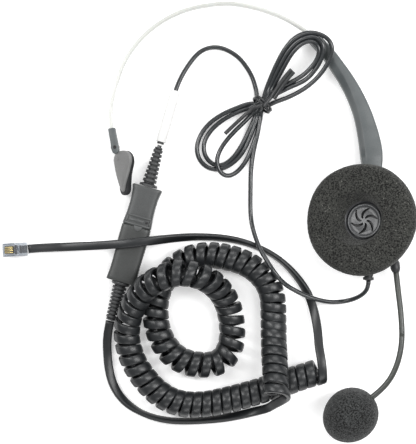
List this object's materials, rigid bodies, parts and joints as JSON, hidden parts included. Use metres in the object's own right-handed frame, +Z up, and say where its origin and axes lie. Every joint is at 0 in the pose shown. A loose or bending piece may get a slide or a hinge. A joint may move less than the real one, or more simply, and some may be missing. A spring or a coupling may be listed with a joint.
{
  "type": "office headset",
  "caption": "Corded one-ear office headset laid flat: T-pad headband, swivelling ear capsule, boom microphone, tied cable, quick disconnect and curly desk cord.",
  "frame": {"origin": "centre of the bottom of the headset's own box (headband, arm, capsule, boom and pad, without the cords), on the table top that it lies on", "axes": "+Z up from the table, +Y from the microphone towards the headband's crown, +X from the temple pad towards the ear capsule"},
  "size_m": [0.2314, 0.2478, 0.0383],
  "materials": {
    "strip_steel": "bright brushed spring steel",
    "grey_plastic": "satin moulded",
    "light_plastic": "satin moulded",
    "dark_plastic": "satin moulded",
    "black_plastic": "satin moulded",
    "soft_pad": "matte soft rubber",
    "foam": "open-cell foam",
    "rubber": "matte rubber",
    "cable": "satin cable jacket",
    "desk_cord": "glossy cable jacket",
    "twist_tie": "coated wire",
    "sleeve_white": "plain paper-like sleeve",
    "steel": "plated steel",
    "circuit_board": "board",
    "gold_contact": "gold plated",
    "clear_plastic": "clear smoky polycarbonate"
  },
  "bodies": {
    "root": {"arm_top_shell": "grey_plastic", "arm_bottom_shell": "grey_plastic", "arm_screw_1": "steel", "arm_screw_2": "steel", "band_detent_spring": "steel", "tilt_pin": "steel", "headset_cable_a": "cable", "headset_cable_b": "cable", "hank_waist": "cable", "hank_upper": "cable", "hank_lower": "cable", "twist_tie": "twist_tie", "qd_lower_top": "grey_plastic", "qd_lower_bottom": "grey_plastic", "qd_lower_tongue": "black_plastic", "qd_lower_relief": "rubber", "lead_a": "desk_cord", "coil_cord": "desk_cord", "lead_b": "desk_cord", "plug_body": "clear_plastic", "plug_contact_1": "gold_contact", "plug_contact_2": "gold_contact", "plug_contact_3": "gold_contact", "plug_contact_4": "gold_contact"},
    "headband": {"headband_strip": "strip_steel", "temple_stem": "grey_plastic", "temple_rivet": "steel"},
    "temple": {"temple_plate": "light_plastic", "temple_pad": "soft_pad"},
    "ear_link": {"swivel_link": "steel"},
    "capsule": {"ear_rear_shell": "grey_plastic", "baffle_ring": "dark_plastic", "speaker_grille": "black_plastic", "ear_cushion": "foam", "speaker_basket": "black_plastic", "speaker_magnet": "steel", "terminal_board": "circuit_board", "cable_gland": "rubber", "housing_screw_1": "steel", "housing_screw_2": "steel"},
    "boom": {"boom_turret": "grey_plastic", "turret_screw": "steel", "turret_washer": "steel", "boom_boot": "rubber", "boom_tube_lower": "cable"},
    "mic": {"boom_tube_upper": "cable", "mic_housing": "dark_plastic", "mic_element": "steel", "mic_windscreen": "foam"},
    "qd_upper": {"qd_upper_top": "grey_plastic", "qd_upper_bottom": "grey_plastic", "qd_upper_contacts": "black_plastic", "qd_upper_relief": "rubber", "label_sleeve": "sleeve_white", "sleeve_end_ring": "rubber"},
    "plug_latch": {"plug_latch": "clear_plastic"}
  },
  "joints": [
    {"name": "headband_slide", "type": "hinge", "parent": "root", "child": "headband", "pos_m": [-0.01754, 0.04999, 0.005], "axis": [0, 0, 1], "range_deg": [-10, 0]},
    {"name": "temple_pad_swivel", "type": "hinge", "parent": "headband", "child": "temple", "pos_m": [-0.08185, 0.04183, 0.00505], "axis": [0, 0, 1], "range_deg": [-25, 1]},
    {"name": "ear_tilt", "type": "hinge", "parent": "root", "child": "ear_link", "pos_m": [0.06338, 0.03286, 0.00888], "axis": [0.9325, 0, 0.3611], "range_deg": [-10, 10], "deforming": ["headset_cable_a"]},
    {"name": "ear_swivel", "type": "hinge", "parent": "ear_link", "child": "capsule", "pos_m": [0.06191, -0.00039, 0.01269], "axis": [0.044, 0.9925, -0.1137], "range_deg": [-75, 20], "deforming": ["headset_cable_a"]},
    {"name": "boom_rotate", "type": "hinge", "parent": "capsule", "child": "boom", "pos_m": [0.06198, -0.00105, 0.00697], "axis": [-0.3584, 0.1219, 0.9256], "range_deg": [0, 105]},
    {"name": "boom_bend", "type": "hinge", "parent": "boom", "child": "mic", "pos_m": [0.07882, -0.06352, 0.02043], "axis": [-0.3584, 0.1219, 0.9256], "range_deg": [0, 25]},
    {"name": "qd_release", "type": "slide", "parent": "root", "child": "qd_upper", "axis": [0.2711, 0.9625, 0], "range_m": [0, 0.009], "deforming": ["headset_cable_b"]},
    {"name": "plug_latch_press", "type": "hinge", "parent": "root", "child": "plug_latch", "pos_m": [-0.1449, -0.01636, 0.0023], "axis": [0.0515, -0.9987, 0], "range_deg": [0, 6], "stiffness_Nm_per_rad": 0.02}
  ]
}
